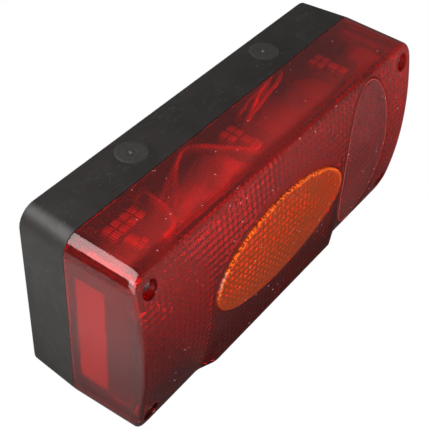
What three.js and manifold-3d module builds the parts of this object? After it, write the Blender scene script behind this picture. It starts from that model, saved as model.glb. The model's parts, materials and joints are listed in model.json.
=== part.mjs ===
// Rectangular combination tail lamp for a trailer.
// A black housing carries three lamp units, and a red lens cover is screwed on in front of them.
// Millimetres. X runs along the lamp, the lens faces -Y, Z is up.
// The origin is the centre of the flat back that lies on the trailer.
import * as THREE from 'three';
import { mergeVertices } from 'three/addons/utils/BufferGeometryUtils.js';
import { ConvexGeometry } from 'three/addons/geometries/ConvexGeometry.js';
import Module from 'manifold-3d';

// ---- driving dimensions ----
const LENGTH = 240;
const HEIGHT = 108.2;
const CORNER_RADIUS = 10.5;
const BASE_DEPTH = 28.5;
const BASE_WALL = 3;
const BASE_END_DRAFT = 2;
const BASE_SIDE_DRAFT = 0.85;
const LENS_WALL = 2.5;
const LENS_END_DRAFT = 0.65;
const LENS_SIDE_DRAFT = 0.9;
const CROWN_DEPTH = 73;
const FACE_RADIUS = 225;
const GAP = 0.3;

const AMBER = { x: -8.5, z: 0, halfX: 56, halfZ: 28 };
const OVAL = { x: 73.9, z: 0, halfX: 22.9, halfZ: 49.6 };
const PLATE_WINDOW = { x: -4.5, halfX: 40, back: -36, front: -61 };

const SCREW_X = 109.7;
const SCREW_Z = 42.4;
const COUNTERBORE_RADIUS = 5;
const COUNTERBORE_FLOOR = -61.9;
const PILLAR_HEAD_RADIUS = 7;
const PILLAR_STEM_RADIUS = 4.8;
const PILLAR_STEP = -56;
const SCREW_BORE_RADIUS = 2.4;
const SCREW_SHAFT_RADIUS = 2;
const SCREW_TIP = -12;
const SCREW_HEAD_RADIUS = 4.2;
const SCREW_HEAD_HEIGHT = 2.5;
const WASHER_THICKNESS = 1;

const LAMP_X = [-86.5, -6.5, 74.5];
const MOUNT_SPACING = 80;
const CABLE_ENTRY = { x: -44, z: -36 };
const DISC = { x: 55, y: -12.7, radius: 8.2, thickness: 1.2, sunk: 0.25, nubRadius: 1.2, nubHeight: 1.8 };

// The chin: its upright front, its apex height, and the X of its apex, lower corner and foot at each end.
const CHIN = {
  front: -71.1, back: -50, apexZ: -28.4, low: -HEIGHT / 2 - 2, chamfer: 2.2,
  left: [-65.6, -59, -69], right: [57, 50, 60],
};

const SIDES = { coarse: 10, round: 16, corner: 5, window: 20 };

// ---- solids from three.js geometry, joined and cut by manifold ----
const wasm = await Module();
wasm.setup();

function solid(geometry) {
  const bare = geometry.index ? geometry.toNonIndexed() : geometry.clone();
  for (const name of Object.keys(bare.attributes)) {
    if (name !== 'position') bare.deleteAttribute(name);
  }
  const merged = mergeVertices(bare, 1e-4);
  return new wasm.Manifold(new wasm.Mesh({
    numProp: 3,
    vertProperties: new Float32Array(merged.attributes.position.array),
    triVerts: new Uint32Array(merged.index.array),
  }));
}

function surface(body) {
  const mesh = body.getMesh();
  const geometry = new THREE.BufferGeometry();
  geometry.setAttribute('position', new THREE.BufferAttribute(mesh.vertProperties, 3));
  geometry.setIndex(new THREE.BufferAttribute(mesh.triVerts, 1));
  geometry.computeVertexNormals();
  return geometry;
}

const joined = (first, ...rest) => rest.reduce((sum, next) => sum.add(next), first);
const cutBy = (first, ...rest) => rest.reduce((left, next) => left.subtract(next), first);

// ---- materials ----
const plastic = (color, roughness) => new THREE.MeshStandardMaterial({ color, roughness, metalness: 0 });
const metal = (color, roughness) => new THREE.MeshStandardMaterial({ color, roughness, metalness: 1 });
const clear = (color, opacity) => new THREE.MeshStandardMaterial({
  color, opacity, roughness: 0.1, metalness: 0, transparent: true,
});

const BLACK_PLASTIC = plastic(0x2a2827, 0.55);
const WHITE_PLASTIC = plastic(0xdcd8cf, 0.5);
const RUBBER = plastic(0x171717, 0.85);
const RED_LENS = clear(0xb01418, 0.75);
const AMBER_LENS = clear(0xd96a12, 0.85);
const CLEAR_LENS = clear(0xe8eef0, 0.4);
const ZINC = metal(0xb9bcc0, 0.35);
const BRASS = metal(0xb9923f, 0.35);
const NICKEL = metal(0xc8c5bd, 0.25);
const TUNGSTEN = metal(0x6d6b69, 0.4);
const YELLOW_WIRE = plastic(0xd8b43a, 0.5);
const WHITE_WIRE = plastic(0xdedad0, 0.5);

const lamp = new THREE.Group();
lamp.name = 'trailer_tail_light';

function add(name, body, material, parent = lamp) {
  const mesh = new THREE.Mesh(surface(body), material);
  mesh.name = name;
  parent.add(mesh);
  return mesh;
}

// ---- shapes that repeat ----
const AXIS_X = new THREE.Vector3(1, 0, 0);
const AXIS_Y = new THREE.Vector3(0, 1, 0);
const AXIS_Z = new THREE.Vector3(0, 0, 1);
const FRONTWARD = new THREE.Matrix4().makeBasis(AXIS_X, AXIS_Z, AXIS_Y.clone().negate());
const SIDEWAYS = new THREE.Matrix4().makeBasis(AXIS_Y, AXIS_Z, AXIS_X);

// An outline in X and Z, made solid from back to front (both are Y values, front is the lower).
function prism(outline, back, front, segments = SIDES.coarse) {
  const geometry = new THREE.ExtrudeGeometry(outline, {
    depth: back - front, bevelEnabled: false, curveSegments: segments,
  });
  return geometry.applyMatrix4(FRONTWARD).translate(0, back, 0);
}

function roundedRectangle(halfX, halfZ, radius) {
  const shape = new THREE.Shape();
  shape.absarc(halfX - radius, halfZ - radius, radius, 0, Math.PI / 2);
  shape.absarc(-halfX + radius, halfZ - radius, radius, Math.PI / 2, Math.PI);
  shape.absarc(-halfX + radius, -halfZ + radius, radius, Math.PI, 1.5 * Math.PI);
  shape.absarc(halfX - radius, -halfZ + radius, radius, 1.5 * Math.PI, 2 * Math.PI);
  shape.closePath();
  return shape;
}

function ellipse({ x, z, halfX, halfZ }, grow = 0) {
  return new THREE.Shape().absellipse(x, z, halfX + grow, halfZ + grow, 0, 2 * Math.PI);
}

// The section at the joint shrinks evenly by the draft on its way to the given Y.
function drafted(geometry, jointY, farY, draftX, draftZ) {
  const position = geometry.attributes.position;
  for (let i = 0; i < position.count; i += 1) {
    const share = (position.getY(i) - jointY) / (farY - jointY);
    position.setX(i, position.getX(i) * (1 - share * draftX / (LENGTH / 2)));
    position.setZ(i, position.getZ(i) * (1 - share * draftZ / (HEIGHT / 2)));
  }
  return geometry;
}

function block(centre, size) {
  return solid(new THREE.BoxGeometry(...size).translate(...centre));
}

// A round bar along Y.
function bar(radius, back, front, x = 0, z = 0, sides = SIDES.round) {
  const geometry = new THREE.CylinderGeometry(radius, radius, back - front, sides);
  return solid(geometry.translate(x, (back + front) / 2, z));
}

function ring(outer, inner, back, front, x = 0, z = 0, sides = SIDES.round) {
  return bar(outer, back, front, x, z, sides).subtract(bar(inner, back + 1, front - 1, x, z, sides));
}

// A body turned about Y. The outline's points, [radius, y], run from the back to the front.
function turned(points) {
  const outline = points.map(([r, y]) => new THREE.Vector2(r, y)).reverse();
  return solid(new THREE.LatheGeometry(outline, SIDES.round));
}

// ---- housing ----
function baseBlock(inset, back, front) {
  const outline = roundedRectangle(LENGTH / 2 - inset, HEIGHT / 2 - inset, CORNER_RADIUS - inset);
  const geometry = prism(outline, back, front, SIDES.corner);
  return solid(drafted(geometry, -BASE_DEPTH, 0, BASE_END_DRAFT, BASE_SIDE_DRAFT));
}

const corners = [[-1, 1], [1, 1], [-1, -1], [1, -1]].map(([sx, sz]) => [sx * SCREW_X, sz * SCREW_Z]);
const mountX = [-MOUNT_SPACING / 2, MOUNT_SPACING / 2];
const BACK_WALL_INSIDE = -BASE_WALL;
const GASKET_BED = -26.3;
const GASKET_WIDTH = 1.4;
const BOSS = { radius: 5, front: -BASE_DEPTH + 0.4, boreEnd: -9 };
const BOSS_WEB = { reach: 5, y: -13, size: [6, 24, 1.6] };
const SLEEVE_RADIUS = 5;
const SLEEVE_SEAT = { radius: SLEEVE_RADIUS + 2, front: -9 };
const BOLT_HOLE_RADIUS = 3.3;
const SLEEVE_FRONT = -12;
const GROMMET_HOLE_RADIUS = 6;

function knockoutDiscs(side) {
  const surfaceZ = side * (HEIGHT / 2 - BASE_SIDE_DRAFT * (BASE_DEPTH + DISC.y) / BASE_DEPTH);
  const discs = [-DISC.x, DISC.x].flatMap((x) => [
    new THREE.CylinderGeometry(DISC.radius, DISC.radius, DISC.thickness, SIDES.round),
    new THREE.CylinderGeometry(DISC.nubRadius, DISC.nubRadius, DISC.nubHeight, SIDES.coarse),
  ].map((plate) => solid(plate.rotateX(Math.PI / 2).translate(x, DISC.y, surfaceZ - side * DISC.sunk))));
  return joined(...discs);
}

function baseHousing() {
  const shell = cutBy(
    baseBlock(0, 0, -BASE_DEPTH),
    baseBlock(BASE_WALL, BACK_WALL_INSIDE, -BASE_DEPTH - 1),
    baseBlock(BASE_WALL - GASKET_WIDTH, GASKET_BED, -BASE_DEPTH - 1),
  );
  const bosses = corners.map(([x, z]) => bar(BOSS.radius, -1, BOSS.front, x, z));
  const bossWebs = corners.map(([x, z]) => block(
    [x + Math.sign(x) * BOSS_WEB.reach, BOSS_WEB.y, z], BOSS_WEB.size,
  ));
  const seats = mountX.map((x) => bar(SLEEVE_SEAT.radius, -1, SLEEVE_SEAT.front, x, 0));
  const whole = joined(shell, ...bosses, ...bossWebs, ...seats, knockoutDiscs(1), knockoutDiscs(-1));
  const screwBores = corners.map(([x, z]) => (
    bar(SCREW_BORE_RADIUS, BOSS.boreEnd, -BASE_DEPTH - 1, x, z, SIDES.coarse)));
  const sleeveBores = mountX.map((x) => bar(SLEEVE_RADIUS + GAP, 1, -20, x, 0));
  const cableHole = bar(GROMMET_HOLE_RADIUS + GAP, 1, -20, CABLE_ENTRY.x, CABLE_ENTRY.z);
  return cutBy(whole, ...screwBores, ...sleeveBores, cableHole);
}

add('base_housing', baseHousing(), BLACK_PLASTIC);

const gasketOuter = baseBlock(BASE_WALL - GASKET_WIDTH + GAP, GASKET_BED - GAP, -BASE_DEPTH + 0.1);
const gasketHole = baseBlock(BASE_WALL, 0, -BASE_DEPTH - 1);
add('rim_gasket', gasketOuter.subtract(gasketHole), RUBBER);

mountX.forEach((x, i) => {
  add(`mount_sleeve_${i + 1}`, ring(SLEEVE_RADIUS, BOLT_HOLE_RADIUS, -0.3, SLEEVE_FRONT, x, 0), ZINC);
});

const grommetBody = turned([
  [3.5, -0.4], [GROMMET_HOLE_RADIUS, -0.4], [GROMMET_HOLE_RADIUS, -3.3], [8, -3.3], [8, -5.2],
  [5.4, -7.5], [3.5, -7.5], [3.5, -0.4],
]);
add('cable_grommet', grommetBody, RUBBER).position.set(CABLE_ENTRY.x, 0, CABLE_ENTRY.z);

// ---- lens ----
const LENS_BACK = -BASE_DEPTH - GAP;
const FACE_EDGE = -66.6;

// Everything behind a face that lies the given depth under the front one.
function barrel(depth, back) {
  const reach = 60;
  const radius = FACE_RADIUS - depth;
  const centre = FACE_RADIUS - CROWN_DEPTH;
  const half = Math.asin(reach / radius);
  const section = new THREE.Shape();
  section.moveTo(back, -reach);
  section.lineTo(back, reach);
  section.absarc(centre, 0, radius, Math.PI - half, Math.PI + half, false);
  section.closePath();
  const geometry = new THREE.ExtrudeGeometry(section, {
    depth: LENGTH + 20, bevelEnabled: false, curveSegments: 12,
  });
  return solid(geometry.applyMatrix4(SIDEWAYS).translate(-LENGTH / 2 - 10, 0, 0));
}

function lensBlock(inset, back) {
  const outline = roundedRectangle(LENGTH / 2 - inset, HEIGHT / 2 - inset, CORNER_RADIUS - inset);
  const geometry = prism(outline, back, -90, SIDES.corner);
  return solid(drafted(geometry, -BASE_DEPTH, FACE_EDGE, LENS_END_DRAFT, LENS_SIDE_DRAFT));
}

// The chin keeps the middle of the lower face upright where the rest curves back.
function chin(inset) {
  const front = CHIN.front + inset;
  const low = CHIN.low + inset;
  const top = CHIN.apexZ - inset;
  const points = [];
  for (const [side, ends] of [[1, CHIN.left], [-1, CHIN.right]]) {
    const [apexX, cornerX, footX] = ends.map((x) => x + side * inset);
    points.push([apexX, front, top], [apexX, CHIN.back, top]);
    points.push([cornerX, front, low + 2 * CHIN.chamfer], [cornerX, front + CHIN.chamfer, low + 2]);
    points.push([cornerX, front + CHIN.chamfer, low]);
    points.push([footX, FACE_EDGE + inset, low], [footX, CHIN.back, low]);
  }
  return solid(new ConvexGeometry(points.map((p) => new THREE.Vector3(...p))));
}

const lensOuter = barrel(0, LENS_BACK).add(chin(0)).intersect(lensBlock(0, LENS_BACK));
const lensInner = barrel(LENS_WALL, 0).add(chin(LENS_WALL)).intersect(lensBlock(LENS_WALL, 0));

function pillar([x, z]) {
  const head = bar(PILLAR_HEAD_RADIUS, PILLAR_STEP, -75, x, z);
  const stem = bar(PILLAR_STEM_RADIUS, LENS_BACK, PILLAR_STEP - 1, x, z);
  return head.add(stem).intersect(lensOuter);
}

function windowBox(grow) {
  const { x, halfX, back, front } = PLATE_WINDOW;
  return block(
    [x, (back + front) / 2, -HEIGHT / 2],
    [2 * (halfX + grow), back - front + 2 * grow, 9],
  );
}

function lensRed() {
  const shell = lensOuter.subtract(lensInner);
  const whole = joined(shell, ...corners.map(pillar));
  const counterbores = corners.map(([x, z]) => bar(COUNTERBORE_RADIUS, COUNTERBORE_FLOOR, -80, x, z));
  const bores = corners.map(([x, z]) => bar(SCREW_BORE_RADIUS, 0, -80, x, z, SIDES.coarse));
  const amberHole = solid(prism(ellipse(AMBER, GAP), -60, -80, SIDES.window));
  const ovalHole = solid(prism(ellipse(OVAL, GAP), -60, -80, SIDES.window));
  return cutBy(whole, ...counterbores, ...bores, amberHole, ovalHole, windowBox(GAP));
}

add('lens_red', lensRed(), RED_LENS);

function facePiece(outline, depth, thickness) {
  const skin = barrel(depth, -50).subtract(barrel(depth + thickness, -49));
  return skin.intersect(solid(prism(outline, -51, -80, SIDES.window)));
}

const REFLEX_THICKNESS = 2.2;
add('amber_window', facePiece(ellipse(AMBER), 0, LENS_WALL), AMBER_LENS);
add('reflex_reflector', facePiece(ellipse(OVAL), 0, REFLEX_THICKNESS), RED_LENS);
const BACKING_THICKNESS = 1.5;
const backingOutline = ellipse(OVAL, -BACKING_THICKNESS);
add('reflex_backing', facePiece(backingOutline, REFLEX_THICKNESS + GAP, BACKING_THICKNESS), BLACK_PLASTIC);
add('plate_window', lensOuter.subtract(lensInner).intersect(windowBox(0)), CLEAR_LENS);

const SIDE_PANEL = [1.2, 16, 66];
[-1, 1].forEach((side) => {
  const innerFace = LENGTH / 2 - LENS_WALL - LENS_END_DRAFT - GAP;
  const name = side < 0 ? 'side_panel_left' : 'side_panel_right';
  add(name, block([side * (innerFace - SIDE_PANEL[0] / 2), -41, 0], SIDE_PANEL), RED_LENS);
});

// ---- lens screws ----
const headSeat = COUNTERBORE_FLOOR - GAP - WASHER_THICKNESS - GAP;
const headTop = headSeat - SCREW_HEAD_HEIGHT;

function lensScrew() {
  const rim = 0.8;
  const shaped = turned([
    [0, SCREW_TIP], [SCREW_SHAFT_RADIUS * 0.5, SCREW_TIP], [SCREW_SHAFT_RADIUS, SCREW_TIP - 3],
    [SCREW_SHAFT_RADIUS, headSeat], [SCREW_HEAD_RADIUS, headSeat],
    [SCREW_HEAD_RADIUS, headTop + rim], [SCREW_HEAD_RADIUS - rim, headTop], [0, headTop],
  ]);
  const slot = [5.2, 2.6, 1.1];
  const across = block([0, headTop, 0], slot);
  const upright = block([0, headTop, 0], [slot[2], slot[1], slot[0]]);
  return cutBy(shaped, across, upright);
}

corners.forEach(([x, z], i) => {
  add(`lens_screw_${i + 1}`, lensScrew(), ZINC).position.set(x, 0, z);
  const washerBack = COUNTERBORE_FLOOR - GAP;
  const washer = ring(4.4, SCREW_SHAFT_RADIUS + GAP, washerBack, washerBack - WASHER_THICKNESS);
  add(`screw_washer_${i + 1}`, washer, RUBBER).position.set(x, 0, z);
});

// ---- lamp units: carrier, socket, contacts and bulb ----
const CARRIER_FACE = -6;
const CARRIER_WALL = { width: 30, thickness: 2.4, low: -20 };
const SHELF_Z = 44.5;
const SHELF_FRONT = -53;
const SHELF_WIDTH = 26;
const RIB = { x: 12, thickness: 1.6, low: 16, front: -44 };
const SOCKET_RADIUS = 9.1;
const SOCKET_BORE = 8;
const SOCKET_FRONT = -23;
const CAP_BACK = -8.8;
const CAP_RADIUS = 7.5;
const CAP_LENGTH = 15.5;
const COLLAR_DEPTH = 1.8;
const PIN_Y = CAP_BACK - 7;
const PIN_RADIUS = 1;
const PIN_REACH = 8.7;
const TWIST_DEGREES = 18;

function carrier() {
  const { width, thickness, low } = CARRIER_WALL;
  const carrierBack = CARRIER_FACE + thickness;
  const wall = block(
    [0, (CARRIER_FACE + carrierBack) / 2, (SHELF_Z + low) / 2],
    [width, thickness, SHELF_Z - low],
  );
  const shelf = block(
    [0, (carrierBack + SHELF_FRONT) / 2, SHELF_Z - thickness / 2],
    [SHELF_WIDTH, carrierBack - SHELF_FRONT, thickness],
  );
  const collar = ring(SOCKET_RADIUS + 2.3, SOCKET_RADIUS + GAP, CARRIER_FACE + 1, -12);
  const ribProfile = new THREE.Shape([
    new THREE.Vector2(CARRIER_FACE + 0.5, SHELF_Z - 1), new THREE.Vector2(CARRIER_FACE + 0.5, RIB.low),
    new THREE.Vector2(RIB.front, SHELF_Z - 1),
  ]);
  const ribs = [-RIB.x, RIB.x].map((x) => {
    const rib = new THREE.ExtrudeGeometry(ribProfile, { depth: RIB.thickness, bevelEnabled: false });
    return solid(rib.applyMatrix4(SIDEWAYS).translate(x - RIB.thickness / 2, 0, 0));
  });
  return joined(wall, shelf, collar, ...ribs);
}

// Tinned plate on the carrier's shelf, pressed up into square pads. Each pad is [x, y, width, length].
const PLATE = { y: -42.6, width: 23, length: 22.2, thickness: 0.8, padHeight: 1.1 };
const PAD = { width: 4.3, length: 4.1, rows: [-34.7, -39.5] };
const PLATE_LAYOUTS = [
  {
    x: -2.6,
    columns: [-11.7, -6, -0.3, 5.4],
    bars: [[-8.9, -46.6, 4.8, 6], [-9.7, -51.5, 2.7, 3.6], [-6, -51.5, 2.9, 3.6]],
  },
  { x: 0, columns: [-4.4, 1.2], bars: [[-0.4, -45.4, 5, 5.8], [-0.6, -51.2, 5.4, 4.4]] },
  { x: 0, columns: [-4.4, 1.2], bars: [[-0.4, -45.4, 5, 5.8], [-0.6, -51.2, 5.4, 4.4]] },
];

function contactPlate({ x, columns, bars }) {
  const plateZ = SHELF_Z + GAP + PLATE.thickness / 2;
  const plate = block([x, PLATE.y, plateZ], [PLATE.width, PLATE.length, PLATE.thickness]);
  const squares = columns.flatMap((column) => PAD.rows.map((row) => [column, row, PAD.width, PAD.length]));
  const pads = [...squares, ...bars].map(([padX, padY, width, length]) => block(
    [padX, padY, plateZ + (PLATE.thickness + PLATE.padHeight) / 2 - 0.2],
    [width, length, PLATE.padHeight + 0.4],
  ));
  return joined(plate, ...pads);
}

function socketSleeve() {
  const sleeve = ring(SOCKET_RADIUS, SOCKET_BORE, CARRIER_FACE - GAP, SOCKET_FRONT);
  const clearance = PIN_RADIUS + 0.5;
  const cuts = [0, 180].map((angle) => {
    const entryAngle = THREE.MathUtils.degToRad(TWIST_DEGREES);
    const slots = [];
    for (let step = 0; step <= 3; step += 1) {
      const slot = new THREE.BoxGeometry(6, 2 * clearance, 2 * clearance);
      slot.translate(SOCKET_RADIUS, PIN_Y, 0).rotateY(-entryAngle * step / 3);
      slots.push(solid(slot.rotateY(THREE.MathUtils.degToRad(angle))));
    }
    const length = PIN_Y + clearance - SOCKET_FRONT + 1;
    const entry = new THREE.BoxGeometry(6, length, 2 * clearance);
    entry.translate(SOCKET_RADIUS, PIN_Y + clearance - length / 2, 0).rotateY(-entryAngle);
    slots.push(solid(entry.rotateY(THREE.MathUtils.degToRad(angle))));
    return joined(...slots);
  });
  return cutBy(sleeve, ...cuts);
}

function bulbCap() {
  const collarY = CAP_BACK - CAP_LENGTH;
  const collarRadius = CAP_RADIUS + 0.4;
  const barrelPart = turned([
    [0, CAP_BACK], [3, CAP_BACK], [3.6, CAP_BACK - 0.8], [CAP_RADIUS - 0.7, CAP_BACK - 0.8],
    [CAP_RADIUS, CAP_BACK - 1.6], [CAP_RADIUS, collarY], [collarRadius, collarY - 0.6],
    [collarRadius, collarY - 1.4], [7, collarY - COLLAR_DEPTH], [0, collarY - COLLAR_DEPTH],
  ]);
  const pins = new THREE.CylinderGeometry(PIN_RADIUS, PIN_RADIUS, 2 * PIN_REACH, SIDES.coarse);
  return barrelPart.add(solid(pins.rotateZ(Math.PI / 2).translate(0, PIN_Y, 0)));
}

const NECK_Y = CAP_BACK - CAP_LENGTH - COLLAR_DEPTH - GAP;
const NECK_RADIUS = 6.4;
const GLOBE_RADIUS = 12.6;
const GLOBE_Y = NECK_Y - 19;
const GLASS = 0.8;

// Half the outline of the bulb's glass, from its tip on the axis back to the neck.
function glassOutline(inset) {
  const points = [];
  const radius = GLOBE_RADIUS - inset;
  const steps = 7;
  const last = THREE.MathUtils.degToRad(140);
  for (let i = 0; i <= steps; i += 1) {
    const angle = last * i / steps;
    points.push([radius * Math.sin(angle), GLOBE_Y - radius * Math.cos(angle)]);
  }
  points.push([NECK_RADIUS - inset, NECK_Y - 4], [NECK_RADIUS - inset, NECK_Y]);
  return points;
}

function bulbGlass() {
  const outer = glassOutline(0);
  const inner = glassOutline(GLASS).reverse();
  return turned([...outer, ...inner].reverse());
}

const FILAMENT = {
  stemRadius: 2, stemLength: 9, leadLength: 11, leadReach: 13, leadTilt: 0.3, coilLength: 7.6, coilReach: 17.8,
};

function bulbFilament() {
  const { stemRadius, stemLength, leadLength, leadReach, leadTilt, coilLength, coilReach } = FILAMENT;
  const stem = bar(stemRadius, NECK_Y, NECK_Y - stemLength, 0, 0, SIDES.coarse);
  const leads = [-1, 1].map((side) => {
    const lead = new THREE.CylinderGeometry(0.35, 0.35, leadLength, 6);
    lead.rotateZ(side * leadTilt).translate(side * stemRadius, NECK_Y - leadReach, 0);
    return solid(lead);
  });
  const coil = new THREE.CylinderGeometry(0.6, 0.6, coilLength, 8).rotateZ(Math.PI / 2);
  return joined(stem, ...leads, solid(coil.translate(0, NECK_Y - coilReach, 0)));
}

const BULB_GLASS = [clear(0xe9eef0, 0.35), clear(0xe59a35, 0.5), clear(0xe9eef0, 0.35)];

LAMP_X.forEach((x, i) => {
  const unit = new THREE.Group();
  unit.position.x = x;
  lamp.add(unit);
  const n = i + 1;
  const socketHole = bar(4, 0, -12);
  add(`bulb_carrier_${n}`, carrier().subtract(socketHole), BLACK_PLASTIC, unit);
  add(`contact_plate_${n}`, contactPlate(PLATE_LAYOUTS[i]), ZINC, unit);
  add(`bulb_socket_${n}`, socketSleeve(), ZINC, unit);
  add(`centre_contact_${n}`, bar(3, -4, CAP_BACK + GAP), BRASS, unit);
  add(`bulb_cap_${n}`, bulbCap(), NICKEL, unit);
  add(`bulb_glass_${n}`, bulbGlass(), BULB_GLASS[i], unit);
  add(`bulb_filament_${n}`, bulbFilament(), TUNGSTEN, unit);
});

// ---- chamber walls, earth strip and terminal block ----
const DIVIDER_X = [-66, 51];
const DIVIDER_TOP = 22;
const DIVIDER_THICKNESS = 1.6;
const CABLE_NOTCH = block([0, -8, 0], [2 * LENGTH, 11, 2 * DIVIDER_TOP]);

function divider(x) {
  const inside = lensBlock(LENS_WALL + 0.5, 0).intersect(baseBlock(BASE_WALL + 0.5, 0, -90));
  const wall = block(
    [x, -40, (DIVIDER_TOP - HEIGHT / 2) / 2],
    [DIVIDER_THICKNESS, 80, DIVIDER_TOP + HEIGHT / 2],
  );
  const behindFace = barrel(LENS_WALL + 2.2, BACK_WALL_INSIDE - GAP);
  return wall.intersect(inside).intersect(behindFace).subtract(CABLE_NOTCH);
}

DIVIDER_X.forEach((x, i) => add(`chamber_wall_${i + 1}`, divider(x), WHITE_PLASTIC));

const STRIP = { from: -104, to: 89, z: -14.5, width: 4.4 };
add('earth_strip', block(
  [(STRIP.from + STRIP.to) / 2, CARRIER_FACE - GAP - 0.4, STRIP.z],
  [STRIP.to - STRIP.from, 0.8, STRIP.width],
), BRASS);

const BLOCK = { x: 18, z: -40, width: 40, height: 11, front: -15 };
const TERMINALS = [-15, -5, 5, 15];
function terminalBlock() {
  const blockBack = BACK_WALL_INSIDE - GAP;
  const depth = blockBack - BLOCK.front;
  const body = block([BLOCK.x, (blockBack + BLOCK.front) / 2, BLOCK.z], [BLOCK.width, depth, BLOCK.height]);
  return cutBy(body, ...TERMINALS.map((x) => bar(2.9, -8, -20, BLOCK.x + x, BLOCK.z)));
}
add('terminal_block', terminalBlock(), WHITE_PLASTIC);

TERMINALS.forEach((x, i) => {
  const head = bar(2.5, -8.4, -11.5).subtract(block([0, -11.5, 0], [6, 1.4, 0.8]));
  add(`terminal_screw_${i + 1}`, head, NICKEL).position.set(BLOCK.x + x, 0, BLOCK.z);
});

// ---- wires, each along its own route ----
function wire(points, radius = 1.1) {
  const curve = new THREE.CatmullRomCurve3(points.map((p) => new THREE.Vector3(...p)));
  const section = new THREE.Shape().absarc(0, 0, radius, 0, 2 * Math.PI);
  return solid(new THREE.ExtrudeGeometry(section, {
    steps: 3 * (points.length - 1), curveSegments: 3, extrudePath: curve,
  }));
}

const WIRE_ROUTES = [
  [
    'feed_wire_left', YELLOW_WIRE,
    [[-5, -11, -40], [-22, -9.5, -33], [-48, -9.6, -18], [-60, -10, -6], [-61, -12, 10], [-62, -19, 29],
      [-65, -28, 42], [-68.5, -38, 46.3], [-71.5, -48, 47], [-77.5, -55.4, 46.5], [-85, -55.4, 45.6]],
  ],
  [
    'feed_wire_centre', WHITE_WIRE,
    [[2, -11, -33.4], [-6, -9.5, -26], [-22, -9.5, -23], [-27, -13, 0], [-29, -18, 28], [-28.5, -24, 43],
      [-26, -33, 48.2], [-21.4, -40.1, 48.3], [-15.9, -48.1, 48.3], [-12.5, -52.6, 48.3], [-8.6, -54, 48.3],
      [-6.4, -52, 48.2], [-6.2, -49.5, 48.2]],
  ],
  [
    'feed_wire_right', WHITE_WIRE,
    [[34, -11, -33.4], [40, -9.8, -17], [50, -9.6, -12], [56, -10, -6], [57, -12, 14],
      [58, -15, 32], [59.8, -19, 40]],
  ],
  [
    'link_wire', YELLOW_WIRE,
    [[26, -11, -33.4], [27, -13, -22], [30, -16, 4], [46, -16, 26], [54, -19, 42], [50, -27, 47],
      [41, -31.2, 48], [28.7, -33.4, 48], [18, -35.1, 47.6], [6.6, -36.2, 46.5]],
  ],
  [
    'earth_wire', WHITE_WIRE,
    [[14, -11, -33.4], [15, -13, -22], [22, -17, 0], [38, -17, 22], [45, -20, 38], [41, -23.6, 44],
      [30, -25.7, 45], [19, -27, 45], [8.6, -29.5, 44.6]],
  ],
];
for (const [name, material, route] of WIRE_ROUTES) add(name, wire(route), material);

export default lamp;
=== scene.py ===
"""Looks of a rectangular trailer tail lamp: a black housing behind a red lens cover with an amber window.

The lamp lies in its own frame: X along it, the lens faces -Y, Z is up. The shapes below are written in
millimetres and turned into metres when a mesh is made.
"""
import json
import math

import bmesh
import bpy
from mathutils import Matrix, Vector
from mathutils.geometry import delaunay_2d_cdt

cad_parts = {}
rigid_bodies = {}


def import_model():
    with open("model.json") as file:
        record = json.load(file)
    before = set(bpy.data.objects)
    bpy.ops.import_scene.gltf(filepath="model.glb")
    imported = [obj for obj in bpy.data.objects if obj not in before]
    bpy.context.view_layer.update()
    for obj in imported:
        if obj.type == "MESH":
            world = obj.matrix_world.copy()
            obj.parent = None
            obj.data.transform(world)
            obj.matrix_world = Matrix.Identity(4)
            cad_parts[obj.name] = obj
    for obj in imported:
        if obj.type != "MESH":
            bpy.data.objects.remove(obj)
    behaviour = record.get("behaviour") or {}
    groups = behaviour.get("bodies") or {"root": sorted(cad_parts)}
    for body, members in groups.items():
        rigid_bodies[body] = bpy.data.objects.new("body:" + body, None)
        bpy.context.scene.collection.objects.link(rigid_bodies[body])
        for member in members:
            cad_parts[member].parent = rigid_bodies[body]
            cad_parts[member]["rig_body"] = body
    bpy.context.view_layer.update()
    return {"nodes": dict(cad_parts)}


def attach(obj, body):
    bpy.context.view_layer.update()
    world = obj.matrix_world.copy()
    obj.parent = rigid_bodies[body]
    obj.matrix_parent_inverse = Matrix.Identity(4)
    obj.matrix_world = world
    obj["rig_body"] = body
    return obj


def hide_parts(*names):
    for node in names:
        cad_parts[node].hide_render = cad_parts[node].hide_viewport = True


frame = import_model()

MM = 0.001

# ---- driving dimensions, as on the CAD part ----
LENGTH = 240
HEIGHT = 108.2
CORNER_RADIUS = 10.5
BASE_DEPTH = 28.5
BASE_WALL = 3
BASE_END_DRAFT = 2
BASE_SIDE_DRAFT = 0.85
LENS_WALL = 2.5
LENS_END_DRAFT = 0.65
LENS_SIDE_DRAFT = 0.9
LENS_BACK = -28.8
FACE_EDGE = -66.6
CROWN_DEPTH = 73
FACE_RADIUS = 225
FRONT_HALF_X = LENGTH / 2 - LENS_END_DRAFT
FRONT_HALF_Z = HEIGHT / 2 - LENS_SIDE_DRAFT
GAP = 0.3
SCREW_X = 109.7
SCREW_Z = 42.4
COUNTERBORE_RADIUS = 5
COUNTERBORE_FLOOR = -61.9
LAMP_X = [-86.5, -6.5, 74.5]
SCREW_TIP = -12
BOSS_RADIUS = 5
PILLAR_RADIUS = 6.3
PILLAR_FOOT_RADIUS = 4.8
PILLAR_TAPER = (-54.5, -56)
SCREW_HOLE_RADIUS = 2.4
WASHER_THICKNESS = 1
WASHER_RADIUS = 4.4
AMBER = {"x": -8.5, "z": 0, "half_x": 56, "half_z": 28}
OVAL = {"x": 73.9, "z": 0, "half_x": 22.9, "half_z": 49.6}
PLATE_OPENING = {"left": -44.8, "right": 35.8, "back": -35.7, "front": -61.3}
CHIN = {
    "front": -71.1, "top": -28.4, "low": -51.7, "left": (-65.6, -59), "right": (57, 50),
    "side_slope": 0.416, "low_slope": 0.917,
}

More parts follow.
